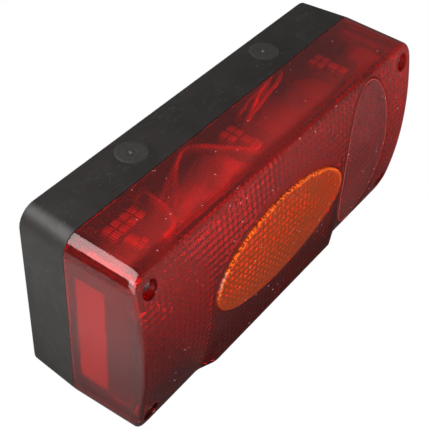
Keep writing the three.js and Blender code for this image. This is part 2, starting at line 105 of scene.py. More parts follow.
# ---- optics of the lens ----
PILLOW_PITCH = 3.9
PILLOW_HEIGHT = 0.5
AMBER_PILLOW_HEIGHT = 0.7
PILLOW_STEPS = 5
FLUTE_PITCH = 1.25
FLUTE_DEPTH = 0.13
FLUTE_STEPS = 5
PLAIN_END_HALF = 34
OPTICS_FADE = {"edge": (2.9, 3.3), "amber": (4.0, 4.5), "oval": (1.5, 2.0), "screw": (8.0, 8.4)}
FACE_THICKNESS = 2.1
CORNER_FILLET = 2.0
FILLET_REACH = 3.5
EDGE_ROUND = 1.8
AMBER_PROUD = 0.8
AMBER_DRAFT = 0.5
HOLE_ROUND = 0.15
HOLE_GROW = GAP + 0.15
WELL_ROUND = 0.25
FROST_FADE = {"start_x": (114, 116), "end_x": (118.2, 118.6), "front": (-66, -64), "end_z": (42.6, 43.4)}

CORNERS = [(sx * SCREW_X, sz * SCREW_Z) for sx, sz in ((-1, 1), (1, 1), (-1, -1), (1, -1))]


# ---- camera, studio ----
def place_in_scene(thing):
    bpy.context.scene.collection.objects.link(thing)


CAMERA = {
    "azimuth": -55.639, "elevation": 42.784, "roll": 3.207, "distance": 0.354313,
    "target": (-0.125512, -0.110534, 0.121448), "lens": 86.12,
}


def make_camera():
    azimuth, elevation, roll = (math.radians(CAMERA[k]) for k in ("azimuth", "elevation", "roll"))
    level = math.cos(elevation)
    toward_camera = Vector((math.sin(azimuth) * level, -math.cos(azimuth) * level, math.sin(elevation)))
    data = bpy.data.cameras.new("camera")
    data.lens = CAMERA["lens"]
    data.sensor_width = 36
    data.clip_start = 0.01
    camera = bpy.data.objects.new("camera", data)
    upright = toward_camera.to_track_quat("Z", "Y")
    camera.rotation_euler = (upright.to_matrix() @ Matrix.Rotation(roll, 3, "Z")).to_euler()
    camera.location = Vector(CAMERA["target"]) + toward_camera * CAMERA["distance"]
    place_in_scene(camera)
    bpy.context.scene.camera = camera


def softbox(name, direction, size, power):
    """A soft lamp that stands a metre away in the given direction and faces the object."""
    data = bpy.data.lights.new(name, "AREA")
    data.shape = "RECTANGLE"
    data.size, data.size_y = size
    data.energy = power
    lamp = bpy.data.objects.new(name, data)
    away = Vector(direction).normalized()
    lamp.location = away
    lamp.rotation_euler = away.to_track_quat("Z", "Y").to_euler()
    place_in_scene(lamp)
    return lamp


def make_studio():
    bpy.context.scene.view_settings.view_transform = "Standard"
    softbox("key", (-0.469, 0.414, 0.780), (1.3, 0.73), 19)
    softbox("back_fill", (0.606, 0.414, 0.679), (1.4, 1.4), 0.6)
    softbox("left_fill", (-0.95, -0.25, 0.35), (1.0, 0.8), 11)
    front_fill = softbox("front_fill", (-0.15, -1.0, 0.04), (0.5, 0.22), 46)
    front_fill.visible_glossy = False
    world = bpy.data.worlds.new("studio")
    bpy.context.scene.world = world
    world.use_nodes = True
    background = world.node_tree.nodes["Background"]
    background.inputs["Color"].default_value = (1, 0.985, 0.97, 1)
    background.inputs["Strength"].default_value = 0.15


# ---- places and colours that several looks and shapes share ----
DISC_X = 55
DISC_Y = -12.7
DISC_RADIUS = 8.2
DUST = (0.16, 0.155, 0.15)
DISC_GREY = (0.022, 0.020, 0.019)
RED_DYE = (0.90, 0.0, 0.0)
RED_BODY = (0.9, 0.05, 0.04)
# Painted shade for the gap round the ovals.
RIM_PAINTED_SHADE = (0.05, 0.004, 0.003)
DUST_ON_LENS = (0.75, 0.42, 0.4)


# ---- materials ----
class Shader:
    """A node material under construction. Its textures read the piece's own place in metres."""

    def __init__(self, name, **settings):
        self.material = bpy.data.materials.new(name)
        self.material.use_nodes = True
        self.tree = self.material.node_tree
        self.principled = self.tree.nodes["Principled BSDF"]
        self.place = self.tree.nodes.new("ShaderNodeTexCoord").outputs["Object"]
        for socket, value in settings.items():
            self.set(socket.replace("_", " "), value)

    def set(self, socket, value):
        """Sets or links one socket of the Principled node."""
        self.feed(self.principled.inputs[socket], value)

    def feed(self, socket, value):
        if isinstance(value, bpy.types.NodeSocket):
            self.tree.links.new(value, socket)
        elif isinstance(value, tuple) and len(value) == 3 and socket.type == "RGBA":
            socket.default_value = (*value, 1)
        else:
            socket.default_value = value

    def node(self, kind, inputs=(), **properties):
        made = self.tree.nodes.new("ShaderNode" + kind)
        for key, value in properties.items():
            setattr(made, key, value)
        for key, value in dict(inputs).items():
            self.feed(made.inputs[key], value)
        return made

    def stretched(self, scale):
        return self.node("Mapping", {"Vector": self.place, "Scale": scale}).outputs[0]

    def rim(self):
        """1 on the edge of an oval or of its hole, where the lens is darkened as painted shade, else 0."""
        return self.ramp(self.attribute("rim"), 0.7, 0.8)

    def noise(self, scale, detail=4, stretch=None):
        vector = self.stretched(stretch) if stretch else self.place
        made = self.node("TexNoise", {"Vector": vector, "Scale": scale, "Detail": detail})
        return made.outputs["Fac"]

    def ramp(self, value, low, high, out_low=0.0, out_high=1.0):
        return self.node("MapRange", {
            "Value": value, "From Min": low, "From Max": high, "To Min": out_low, "To Max": out_high,
        }).outputs["Result"]

    def along(self, axis):
        """The place's X, Y or Z in metres."""
        return self.node("SeparateXYZ", {0: self.place}).outputs[axis]

    def span(self, value, start, end, out_start=0.0, out_end=1.0):
        """A ramp between two places in millimetres, along an axis or another length."""
        length = self.along(value) if isinstance(value, str) else value
        return self.ramp(length, start * MM, end * MM, out_start, out_end)

    def attribute(self, name):
        return self.node("Attribute", attribute_name=name).outputs["Fac"]

    def math(self, operation, first, second=0):
        return self.node("Math", {0: first, 1: second}, operation=operation).outputs[0]

    def times(self, first, *others):
        for other in others:
            first = self.math("MULTIPLY", first, other)
        return first

    def most(self, first, second):
        return self.math("MAXIMUM", first, second)

    def blend(self, factor, first, second):
        made = self.node("Mix", data_type="RGBA")
        for socket, value in ((made.inputs[0], factor), (made.inputs[6], first), (made.inputs[7], second)):
            self.feed(socket, value)
        return made.outputs[2]

    def bump(self, height, strength, distance):
        made = self.node("Bump", {"Height": height, "Strength": strength, "Distance": distance * MM})
        self.set("Normal", made.outputs[0])

    def specks(self, spacing, size, amount):
        """1 on small dust specks, a share of the cells of the given spacing in millimetres, else 0."""
        cells = self.node("TexVoronoi", {"Vector": self.place, "Scale": 1000 / spacing, "Randomness": 1.0})
        near = self.ramp(cells.outputs["Distance"], size, size * 0.6)
        chosen = self.ramp(self.node("SeparateColor", {0: cells.outputs["Color"]}).outputs[0],
                           1 - amount, 1 - amount + 0.02)
        return self.times(near, chosen)

    def scratches(self, scale, stretch, amount):
        """1 on fine hairline scratches, else 0."""
        lines = self.noise(scale, 2, stretch)
        band = self.math("ABSOLUTE", self.math("SUBTRACT", lines, 0.5))
        thin = self.ramp(band, 0.006, 0.0)
        patchy = self.ramp(self.noise(60, 3), 0.62 - amount, 0.66 - amount)
        return self.times(thin, patchy)


def paper():
    """Pale paper that glows for the camera. Elsewhere its dull tone is painted light and shade: palest to the
    left, and darkest under and in front of the lamp's face, where its shadow falls.
    """
    look = Shader("white_paper", Roughness=0.9, Specular_IOR_Level=0.1)
    # Painted shadow and light on the floor: darkest close in front of the lamp, paler to the left and further
    # out in front.
    painted_floor_shade = look.math("ADD", look.span("X", -160, -110, 0.35, 0.06), look.span("Y", -110, -210, 0, 0.1))
    look.set("Base Color", painted_floor_shade)
    glow = look.node("Emission", {"Strength": 1.0}).outputs[0]
    camera_ray = look.node("LightPath").outputs["Is Camera Ray"]
    seen = look.node("MixShader", {0: camera_ray, 1: look.principled.outputs[0], 2: glow}).outputs[0]
    look.tree.links.new(seen, look.tree.nodes["Material Output"].inputs["Surface"])
    return look.material


def make_floor():
    half, low = 4, -HEIGHT / 2 * MM - 0.0006
    mesh = bpy.data.meshes.new("floor")
    mesh.from_pydata([(-half, -half, low), (half, -half, low), (half, half, low), (-half, half, low)], [],
                     [(0, 1, 2, 3)])
    mesh.materials.append(paper())
    floor = bpy.data.objects.new("floor", mesh)
    place_in_scene(floor)


make_camera()
make_studio()
make_floor()


def black_moulding(name, dark, light, shine, mark_share):
    """Black plastic with a fine grain, dust and hairline marks. Returns the look and its colour."""
    look = Shader(name, Specular_IOR_Level=shine)
    dust = look.specks(3.4, 0.09, 0.35)
    hairline = look.scratches(70, (1, 7, 2), 0.12)
    marks = look.most(look.times(dust, 0.6), look.times(hairline, 0.5))
    body = look.blend(look.ramp(look.noise(45, 5), 0.3, 0.7), dark, light)
    look.set("Roughness", look.ramp(look.noise(160, 4), 0.25, 0.75, 0.40, 0.52))
    look.bump(look.noise(1500, 3), 0.35, 0.05)
    return look, look.blend(look.times(marks, mark_share), body, DUST)


def black_plastic():
    look, colour = black_moulding("black_plastic", (0.017, 0.0155, 0.0148), (0.026, 0.0235, 0.0225), 0.5, 1.0)
    look.set("Base Color", colour)
    return look.material


def painted_housing():
    """Black plastic whose floor is painted white inside, below the bulbs, to throw light forward. The white
    fades out slowly upwards and towards the left, and that fade is painted shade.
    """
    look, colour = black_moulding(
        "painted_housing", (0.0065, 0.0050, 0.0046), (0.011, 0.0088, 0.008), 0.36, 0.6)
    across = look.math("ABSOLUTE", look.along("X"))
    # White paint inside, faded upwards and to the left as painted shade on the back wall and floor.
    painted = look.times(
        look.span("Y", -2.6, -2.8), look.span("Z", 10, -34), look.span("Z", -52.2, -52.0),
        look.span("X", -20, 8), look.span(across, 117.6, 117.4), look.span("Y", -28.3, -28.1))
    beside = look.math("POWER", look.math("SUBTRACT", across, DISC_X * MM), 2)
    behind = look.math("POWER", look.math("SUBTRACT", look.along("Y"), DISC_Y * MM), 2)
    reach = look.math("SQRT", look.math("ADD", beside, behind))
    outside = look.span(look.math("ABSOLUTE", look.along("Z")), 52, 52.2)
    patchy = look.ramp(look.noise(700, 5), 0.35, 0.65, 0.55, 1.0)
    worn = look.times(look.span(reach, DISC_RADIUS + 0.1, DISC_RADIUS - 0.1), outside, patchy)
    look.set("Base Color", look.blend(painted, look.blend(worn, colour, DISC_GREY), (0.72, 0.71, 0.68)))
    return look.material


def contact_metal():
    """A blackened plate whose raised pads are bright tin."""
    look = Shader("contact_metal")
    raised = look.span("Z", 46.3, 46.5)
    wear = look.ramp(look.noise(260, 6), 0.35, 0.7)
    bright = look.blend(wear, (0.95, 0.94, 0.91), (0.86, 0.85, 0.82))
    look.set("Base Color", look.blend(raised, (0.03, 0.028, 0.027), bright))
    look.set("Metallic", look.times(raised, 0.1))
    look.set("Roughness", look.ramp(look.noise(700, 4), 0.3, 0.7, 0.4, 0.6))
    look.bump(look.noise(1400, 3), 0.15, 0.03)
    return look.material


def rubber():
    look = Shader("rubber", Specular_IOR_Level=0.4)
    look.set("Base Color", look.blend(look.noise(90), (0.010, 0.010, 0.010), (0.022, 0.021, 0.020)))
    look.set("Roughness", look.ramp(look.noise(400), 0.3, 0.7, 0.7, 0.9))
    look.bump(look.noise(2200, 2), 0.3, 0.05)
    return look.material


def absorption(look, colour, density):
    """The dye of a see-through plastic: light is lost along its way through the wall."""
    volume = look.node("VolumeAbsorption", {"Color": colour, "Density": density})
    output = look.tree.nodes["Material Output"]
    look.tree.links.new(volume.outputs[0], output.inputs["Volume"])


def lens_plastic(name, dye, density, body):
    """Clear dyed plastic with a little dust and smear, with painted shade on its rims. Returns the look and
    its dust.
    """
    look = Shader(name, IOR=1.49)
    rim = look.rim()
    dust = look.specks(4.2, 0.09, 0.4)
    # Painted shade: the rims turn dark and dull, as the gap round each oval looks in shade.
    look.set("Base Color", look.blend(rim, look.blend(dust, body, DUST_ON_LENS), RIM_PAINTED_SHADE))
    look.set("Specular IOR Level", look.ramp(rim, 0, 1, 0.5, 0.05))
    smear = look.ramp(look.noise(130, 5), 0.35, 0.75, 0.0, 0.03)
    look.bump(look.noise(900, 3), 0.05, 0.02)
    absorption(look, dye, density)
    rough = look.most(look.times(rim, 0.7), look.times(dust, 0.6))
    return look, look.most(smear, rough), dust


def finish_lens(look, rough, dust, haze):
    """The haze is the milky share of the plastic, which lights up instead of letting light through."""
    look.set("Roughness", rough)
    # The rims' painted shade is opaque: no light passes there.
    haze = look.most(haze, look.rim())
    look.set("Transmission Weight", look.math("MINIMUM", look.math("SUBTRACT", 1, haze),
                                              look.ramp(dust, 0, 1, 1, 0.35)))
    return look.material


def red_lens():
    """The cover is milkier high on its face, to its right and towards the front of its top wall. This extra
    haze is painted light that brightens those places.
    """
    look, rough, dust = lens_plastic("red_lens", RED_DYE, 900, RED_BODY)
    # Painted light: haze that brightens the face towards its top and towards its right end.
    face = look.math("ADD", look.span("Z", -35, 45, 0.006, 0.030), look.span("X", 80, 118, 0, 0.035))
    # Painted light: a bright band of haze on the top wall towards its front, fading out just before the front
    # edge.
    top = look.times(look.span("Y", -34, -56, 0, 0.14), look.span("Z", 49.5, 50.5),
                     look.span("Y", -63, -58), look.span("X", 10, 70, 1, 0.5))
    frosted = look.times(look.attribute("frost"), 0.55)
    return finish_lens(look, look.most(rough, frosted), dust, look.most(face, top))


def plain_lens(name, dye, density, body, haze):
    look, rough, dust = lens_plastic(name, dye, density, body)
    return finish_lens(look, rough, dust, look.ramp(look.noise(60, 3), 0.3, 0.7, haze * 0.8, haze * 1.2))


def amber_lens():
    """The rim that stands proud of the face is milky orange in short strokes, mostly on its upper half: a
    painted highlight.
    """
    look, rough, dust = lens_plastic("amber_lens", (0.97, 0.40, 0.0), 850, (0.95, 0.14, 0.01))
    # Painted highlight along the proud rim: full on its upper half, faint below.
    highlight_dashes = look.ramp(look.noise(800, 1), 0.44, 0.56, 0.0, 0.4)
    glow = look.times(look.attribute("glow"), highlight_dashes, look.span("Z", -8, 6, 0.1, 1))
    return finish_lens(look, rough, dust, look.most(glow, 0.05))


def clear_glass(name, dye, density):
    look = Shader(name, Base_Color=(1, 1, 1), Transmission_Weight=1.0, IOR=1.5)
    look.set("Roughness", look.ramp(look.noise(160), 0.3, 0.8, 0.0, 0.05))
    look.bump(look.noise(120, 2), 0.05, 0.05)
    absorption(look, dye, density)
    return look.material


def metal(name, bright, dull, roughness, brush=(1, 1, 1)):
    look = Shader(name, Metallic=1.0)
    wear = look.ramp(look.noise(220, 6), 0.35, 0.7)
    look.set("Base Color", look.blend(wear, bright, dull))
    look.set("Roughness", look.ramp(look.noise(700, 4, brush), 0.3, 0.7, roughness * 0.7, roughness * 1.3))
    look.bump(look.noise(1400, 3, brush), 0.15, 0.03)
    return look.material


def coloured_plastic(name, light, dark, roughness):
    look = Shader(name, Specular_IOR_Level=0.5)
    look.set("Base Color", look.blend(look.ramp(look.noise(70, 5), 0.3, 0.7), light, dark))
    look.set("Roughness", look.ramp(look.noise(300), 0.3, 0.7, roughness * 0.85, roughness * 1.15))
    look.bump(look.noise(1300, 3), 0.2, 0.04)
    return look.material


LOOKS = {
    "black_plastic": black_plastic(),
    "painted_housing": painted_housing(),
    "contact_metal": contact_metal(),
    "rubber": rubber(),
    "red_lens": red_lens(),
    "red_reflex": plain_lens("red_reflex", RED_DYE, 1000, (0.9, 0.14, 0.13), 0.028),
    "amber_lens": amber_lens(),
    "clear_lens": plain_lens("clear_lens", (0.9, 0.93, 0.92), 60, (1, 1, 1), 0.01),
    "bulb_glass": clear_glass("bulb_glass", (0.9, 0.93, 0.93), 60),
    "amber_glass": clear_glass("amber_glass", (0.97, 0.5, 0.05), 900),
    "zinc": metal("zinc", (0.72, 0.73, 0.75), (0.42, 0.43, 0.45), 0.3),
    "brass": metal("brass", (0.70, 0.50, 0.20), (0.42, 0.29, 0.12), 0.35, (1, 6, 1)),
    "nickel": metal("nickel", (0.75, 0.72, 0.66), (0.55, 0.52, 0.47), 0.22),
    "tungsten": metal("tungsten", (0.35, 0.34, 0.33), (0.2, 0.2, 0.2), 0.4),
    "white_plastic": coloured_plastic("white_plastic", (0.72, 0.70, 0.66), (0.60, 0.58, 0.54), 0.45),
    "wall_plastic": coloured_plastic("wall_plastic", (0.26, 0.25, 0.23), (0.20, 0.19, 0.18), 0.5),
    "side_red": coloured_plastic("side_red", (0.80, 0.25, 0.20), (0.70, 0.18, 0.15), 0.5),
    "yellow_wire": coloured_plastic("yellow_wire", (0.78, 0.55, 0.10), (0.68, 0.45, 0.08), 0.4),
    "white_wire": coloured_plastic("white_wire", (0.75, 0.72, 0.66), (0.64, 0.60, 0.55), 0.4),
}


# ---- mesh tools ----
def make_mesh(name, vertices, faces):
    mesh = bpy.data.meshes.new(name)
    mesh.from_pydata([Vector(v) * MM for v in vertices], [], faces)
    return mesh


def tidied(mesh, sharp_angle=32):
    """Joins doubled points, turns the faces outward, and shades smooth except at sharp edges."""
    made = bmesh.new()
    made.from_mesh(mesh)
    bmesh.ops.remove_doubles(made, verts=made.verts, dist=2e-6)
    bmesh.ops.dissolve_degenerate(made, edges=made.edges, dist=1e-7)
    bmesh.ops.recalc_face_normals(made, faces=made.faces)
    limit = math.radians(sharp_angle)
    for face in made.faces:
        face.smooth = True
    for edge in made.edges:
        edge.smooth = edge.is_manifold and edge.calc_face_angle(0) < limit
    made.to_mesh(mesh)
    made.free()
    return mesh


def piece(name, mesh, look, body, nodes):
    """Puts a finished mesh on a body in place of CAD nodes."""
    made = bpy.data.objects.new(name, mesh)
    place_in_scene(made)
    made.data.materials.append(LOOKS[look])
    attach(made, body)
    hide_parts(*nodes)
    return made


def loft(rings, caps=True):
    """Vertices and faces of a skin through rings of equal count, closed by a cap at each end."""
    count = len(rings[0])
    vertices = [point for ring in rings for point in ring]
    faces = []
    for k in range(len(rings) - 1):
        for i in range(count):
            j = (i + 1) % count
            faces.append((k * count + i, k * count + j, (k + 1) * count + j, (k + 1) * count + i))
    if caps:
        faces += [tuple(range(count)), tuple(range(len(vertices) - count, len(vertices)))]
    return vertices, faces


def turned(profile, x, z, segments=48):
    """A body turned about Y. The profile's points are (radius, y), on the axis at both ends or closed."""
    rings = []
    for k in range(segments):
        angle = 2 * math.pi * k / segments
        rings.append([(x + r * math.cos(angle), y, z + r * math.sin(angle)) for r, y in profile])
    count = len(profile)
    vertices = [point for ring in rings for point in ring]
    faces = []
    for k in range(segments):
        here, there = k * count, (k + 1) % segments * count
        for i in range(count - 1):
            if i == 0 and profile[0][0] == 0:
                faces.append((here, here + 1, there + 1))
            elif i == count - 2 and profile[-1][0] == 0:
                faces.append((here + i, here + i + 1, there + i))
            else:
                faces.append((here + i, here + i + 1, there + i + 1, there + i))
    return vertices, faces


def turned_mesh(name, *shape):
    return tidied(make_mesh(name, *turned(*shape)))


def box(centre, size, tilt=0):
    """Vertices and faces of a box, turned about Y by the tilt in degrees."""
    turn = Matrix.Rotation(math.radians(tilt), 3, "Y")
    vertices = []
    for corner in range(8):
        offset = [size[axis] / 2 * (1 if corner >> axis & 1 else -1) for axis in range(3)]
        vertices.append(turn @ Vector(offset) + Vector(centre))
    faces = [(0, 2, 3, 1), (4, 5, 7, 6), (0, 1, 5, 4), (2, 6, 7, 3), (0, 4, 6, 2), (1, 3, 7, 5)]
    return vertices, faces


def combined(base, others):
    """Joins ("UNION") or cuts ("DIFFERENCE") closed bodies, in the order given, and returns one mesh."""
    made = bpy.data.objects.new("work", tidied(make_mesh("work", *base)))
    place_in_scene(made)
    tools = []
    for operation, shape in others:
        tool = bpy.data.objects.new("tool", tidied(make_mesh("tool", *shape)))
        place_in_scene(tool)
        step = made.modifiers.new("step", "BOOLEAN")
        step.operation = operation
        step.solver = "MANIFOLD"
        step.object = tool
        tools.append(tool)
    bpy.context.view_layer.update()
    result = bpy.data.meshes.new_from_object(made.evaluated_get(bpy.context.evaluated_depsgraph_get()))
    for used in [made, *tools]:
        bpy.data.objects.remove(used)
    result.materials.clear()
    return result


# ---- outlines ----
CIRCLE_STEPS = 48
ELLIPSE_STEPS = 192


def rim(half_x, half_z, radius, step, corner_steps, cuts=()):
    """Points (x, z, normal_x, normal_z) round a rounded rectangle, counted from the right of the top side."""
    straight_x, straight_z = half_x - radius, half_z - radius
    points = []

    def run(start, end, normal):
        count = max(1, round(math.dist(start, end) / step))
        for i in range(count):
            t = i / count
            points.append((start[0] + (end[0] - start[0]) * t, start[1] + (end[1] - start[1]) * t, *normal))

    def corner(x, z, first):
        for i in range(corner_steps):
            angle = first + math.pi / 2 * i / corner_steps
            n = (math.cos(angle), math.sin(angle))
            points.append((x + radius * n[0], z + radius * n[1], *n))

    run((straight_x, half_z), (-straight_x, half_z), (0, 1))
    corner(-straight_x, straight_z, math.pi / 2)
    run((-half_x, straight_z), (-half_x, -straight_z), (-1, 0))
    corner(-straight_x, -straight_z, math.pi)
    stops = [-straight_x, *cuts, straight_x]
    for start, end in zip(stops, stops[1:]):
        run((start, -half_z), (end, -half_z), (0, -1))
    corner(straight_x, -straight_z, 1.5 * math.pi)
    run((half_x, -straight_z), (half_x, straight_z), (1, 0))
    corner(straight_x, straight_z, 0)
    return points


def circle(x, z, radius):
    angles = [2 * math.pi * i / CIRCLE_STEPS for i in range(CIRCLE_STEPS)]
    return [(x + radius * math.cos(angle), z + radius * math.sin(angle)) for angle in angles]


def ellipse(oval, grow=0.0):
    points = []
    for i in range(ELLIPSE_STEPS):
        angle = 2 * math.pi * i / ELLIPSE_STEPS
        points.append((oval["x"] + (oval["half_x"] + grow) * math.cos(angle),
                       oval["z"] + (oval["half_z"] + grow) * math.sin(angle)))
    return points


def beyond_ellipse(oval, x, z):
    """Roughly how far a point lies outside an ellipse, negative inside."""
    u, v = (x - oval["x"]) / oval["half_x"], (z - oval["z"]) / oval["half_z"]
    reach = math.hypot(u, v)
    if reach < 1e-6:
        return -min(oval["half_x"], oval["half_z"])
    slope = math.hypot(u / oval["half_x"], v / oval["half_z"]) / reach
    return (reach - 1) / slope


def inside_face(x, z, radius=CORNER_RADIUS):
    """How far a point lies inside the outline of the lens face, negative outside."""
    dx, dz = abs(x) - (FRONT_HALF_X - radius), abs(z) - (FRONT_HALF_Z - radius)
    outside = math.hypot(max(dx, 0), max(dz, 0)) + min(max(dx, dz), 0)
    return radius - outside


def smooth_least(a, b, k):
    h = max(k - abs(a - b), 0) / k
    return min(a, b) - h * h * k / 4


def smooth_most(a, b, k):
    return -smooth_least(-a, -b, k)


def step_between(low, high, value):
    t = min(max((value - low) / (high - low), 0), 1)
    return t * t * (3 - 2 * t)


# ---- the lens face ----
def chin_y(x, z):
    """Front of the upright chin, which slopes back beyond its two side edges and its lower edge."""
    front = CHIN["front"]
    depth = front
    drop = CHIN["low"] - CHIN["top"]
    for side, (apex_x, corner_x) in ((-1, CHIN["left"]), (1, CHIN["right"])):
        length = math.hypot(corner_x - apex_x, drop)
        beyond = side * ((x - apex_x) * -drop + (z - CHIN["top"]) * (corner_x - apex_x)) / length
        depth = smooth_most(depth, front + CHIN["side_slope"] * beyond, 0.5)
    below = CHIN["low"] - z
    return smooth_most(depth, front + CHIN["low_slope"] * below, 0.5)


def barrel_y(z):
    """Front of the bowed face without its chin."""
    return FACE_RADIUS - CROWN_DEPTH - math.sqrt(FACE_RADIUS ** 2 - z ** 2)


def face_y(x, z):
    barrel = barrel_y(z)
    if z > CHIN["top"] + 2:
        return barrel
    return smooth_least(barrel, chin_y(x, z), 0.7)


def rounding(distance, radius):
    """How far a rounded edge falls back at a distance inside it."""
    if distance >= radius:
        return 0
    return radius - math.sqrt(max(radius ** 2 - (radius - distance) ** 2, 0))


def pillow(x, z):
    """Height of the square pillow optics at a place on the inner face, from 0 to 1."""
    u = 2 * ((x / PILLOW_PITCH) % 1) - 1
    v = 2 * ((z / PILLOW_PITCH) % 1) - 1
    return ((1 - u * u) * (1 - v * v)) ** 0.8


def red_optics(x, z):
    """1 where the face has its pillows, fading to 0 at its edge, the ovals and the screws."""
    mask = step_between(*OPTICS_FADE["edge"], inside_face(x, z))
    mask *= step_between(*OPTICS_FADE["amber"], beyond_ellipse(AMBER, x, z))
    mask *= step_between(*OPTICS_FADE["oval"], beyond_ellipse(OVAL, x, z))
    for cx, cz in CORNERS:
        mask *= step_between(*OPTICS_FADE["screw"], math.hypot(x - cx, z - cz))
    return mask


def grid_points(step):
    count_x, count_z = math.ceil(FRONT_HALF_X / step), math.ceil(FRONT_HALF_Z / step)
    return [(i * step, j * step) for i in range(-count_x, count_x + 1) for j in range(-count_z, count_z + 1)]


def sheet(loops, filling, keep, height):
    """A skin over the X-Z plane, through closed loops and filling points, where keep() says so."""
    points, edges = [], []
    for loop in loops:
        first = len(points)
        points += loop
        edges += [(first + i, first + (i + 1) % len(loop)) for i in range(len(loop))]
    points += filling
    flat, _, triangles, *_ = delaunay_2d_cdt([Vector(p) for p in points], edges, [], 0, 1e-6, False)
    faces = []
    for face in triangles:
        x, z = (sum(flat[i][axis] for i in face) / 3 for axis in (0, 1))
        if keep(x, z):
            faces.append(tuple(face))
    return [(p[0], height(p[0], p[1]), p[1]) for p in flat], faces


def add_skin(skin, vertices, faces):
    first = len(skin[0])
    skin[0].extend(vertices)
    skin[1].extend(tuple(first + i for i in face) for face in faces)


def bridge(skin, first_ring, second_ring):
    add_skin(skin, *loft([first_ring, second_ring], caps=False))


OUTLINE_CUTS = (PLATE_OPENING["left"], PLATE_OPENING["right"])
LENS_OUTLINE = rim(LENGTH / 2, HEIGHT / 2, CORNER_RADIUS, FLUTE_PITCH / FLUTE_STEPS, 24, OUTLINE_CUTS)
WALL_LEVELS = [LENS_BACK, PLATE_OPENING["back"], -48, PLATE_OPENING["front"]]


def wall_point(entry, inset, share):
    """A place on the tapering walls, where the share is 0 at the housing and 1 at the face."""
    x, z, nx, nz = entry
    scale_x, scale_z = FRONT_HALF_X / (LENGTH / 2), FRONT_HALF_Z / (HEIGHT / 2)
    return (x - nx * inset) * (1 - share * (1 - scale_x)), (z - nz * inset) * (1 - share * (1 - scale_z))


def inner_inset(entry):
    """Wall thickness with fine ribs on its inside, except on the middle of both ends."""
    x, z, normal_x, _ = entry
    inset = LENS_WALL - 0.05
    if abs(normal_x) > 0.99 and abs(z) < PLAIN_END_HALF:
        return inset
    along = x if abs(normal_x) < 0.7 else z
    return inset + FLUTE_DEPTH * (0.5 + 0.5 * math.cos(2 * math.pi * along / FLUTE_PITCH))


def wall_rings(inset_of, edge_y):
    """Rings from the housing to the face, and the outline of the last one."""
    rings = []
    for y in WALL_LEVELS:
        share = (y + BASE_DEPTH) / (FACE_EDGE + BASE_DEPTH)
        flat = [wall_point(entry, inset_of(entry), share) for entry in LENS_OUTLINE]
        rings.append([(x, y, z) for x, z in flat])
    last = [wall_point(entry, inset_of(entry), 1) for entry in LENS_OUTLINE]
    rings.append([(x, edge_y(x, z), z) for x, z in last])
    return rings, last


def in_opening(k, i):
    """Whether the part of a wall between levels k and k + 1 at a point of the outline is cut away."""
    low = min(LENS_OUTLINE[i][0], LENS_OUTLINE[(i + 1) % len(LENS_OUTLINE)][0])
    under = LENS_OUTLINE[i][3] < -0.99
    left, right = (x - 1e-6 for x in OUTLINE_CUTS)
    return under and 1 <= k <= 2 and left <= low < right


def add_walls(skin, outer_rings, inner_rings):
    count = len(LENS_OUTLINE)
    for rings in (outer_rings, inner_rings):
        vertices, faces = loft(rings, caps=False)
        kept = [face for n, face in enumerate(faces) if not in_opening(n // count, n % count)]
        add_skin(skin, vertices, kept)
    bridge(skin, outer_rings[0], inner_rings[0])


def add_opening_sides(skin, outer_rings, inner_rings):
    """The cut edges of the wall round the number-plate opening."""
    inside = [i for i in range(len(LENS_OUTLINE)) if in_opening(1, i)]
    first, last = inside[0], inside[-1] + 1
    for k in (1, 3):
        strips = outer_rings[k][first:last + 1] + inner_rings[k][first:last + 1]
        n = len(strips) // 2
        add_skin(skin, strips, [(i, i + 1, n + i + 1, n + i) for i in range(n - 1)])
    for i in (first, last):
        for k in (1, 2):
            quad = [outer_rings[k][i], outer_rings[k + 1][i], inner_rings[k + 1][i], inner_rings[k][i]]
            add_skin(skin, quad, [(0, 1, 2, 3)])


def fillet(x, z):
    """The upper corner between the face and its walls is thicker inside, and shows as a dark band."""
    edge = inside_face(x, z) - LENS_WALL
    near = min(max(1 - edge / FILLET_REACH, 0), 1)
    return CORNER_FILLET * near ** 2 * step_between(20, 44, z)


def inner_edge_y(x, z):
    return face_y(x, z) + FACE_THICKNESS + fillet(x, z)


def outer_height(x, z):
    edge = inside_face(x, z, CORNER_RADIUS - 0.05)
    y = face_y(x, z) + rounding(max(edge, 0), EDGE_ROUND)
    for cx, cz in CORNERS:
        y += rounding(max(math.hypot(x - cx, z - cz) - COUNTERBORE_RADIUS, 0), WELL_ROUND)
    for oval in (AMBER, OVAL):
        y += rounding(max(beyond_ellipse(oval, x, z) - HOLE_GROW, 0), HOLE_ROUND)
    return y


def inner_height(x, z):
    return inner_edge_y(x, z) + PILLOW_HEIGHT * pillow(x, z) * red_optics(x, z)


def clear_of_ovals(x, z, gap):
    return all(beyond_ellipse(oval, x, z) > gap for oval in (AMBER, OVAL))


def clear_of_screws(x, z, radius):
    return all(math.hypot(x - cx, z - cz) > radius for cx, cz in CORNERS)


def in_face(x, z, radius):
    """Outside the ovals' holes and outside the given radius round the screws."""
    return clear_of_ovals(x, z, HOLE_GROW * 0.5) and clear_of_screws(x, z, radius - 0.03)


def face_filling(step, radius, edge_gap):
    """Points inside the face that keep away from its edge, the ovals' holes and the screws."""
    return [(x, z) for x, z in grid_points(step)
            if inside_face(x, z) > edge_gap and clear_of_ovals(x, z, HOLE_GROW + 0.9)
            and clear_of_screws(x, z, radius)]


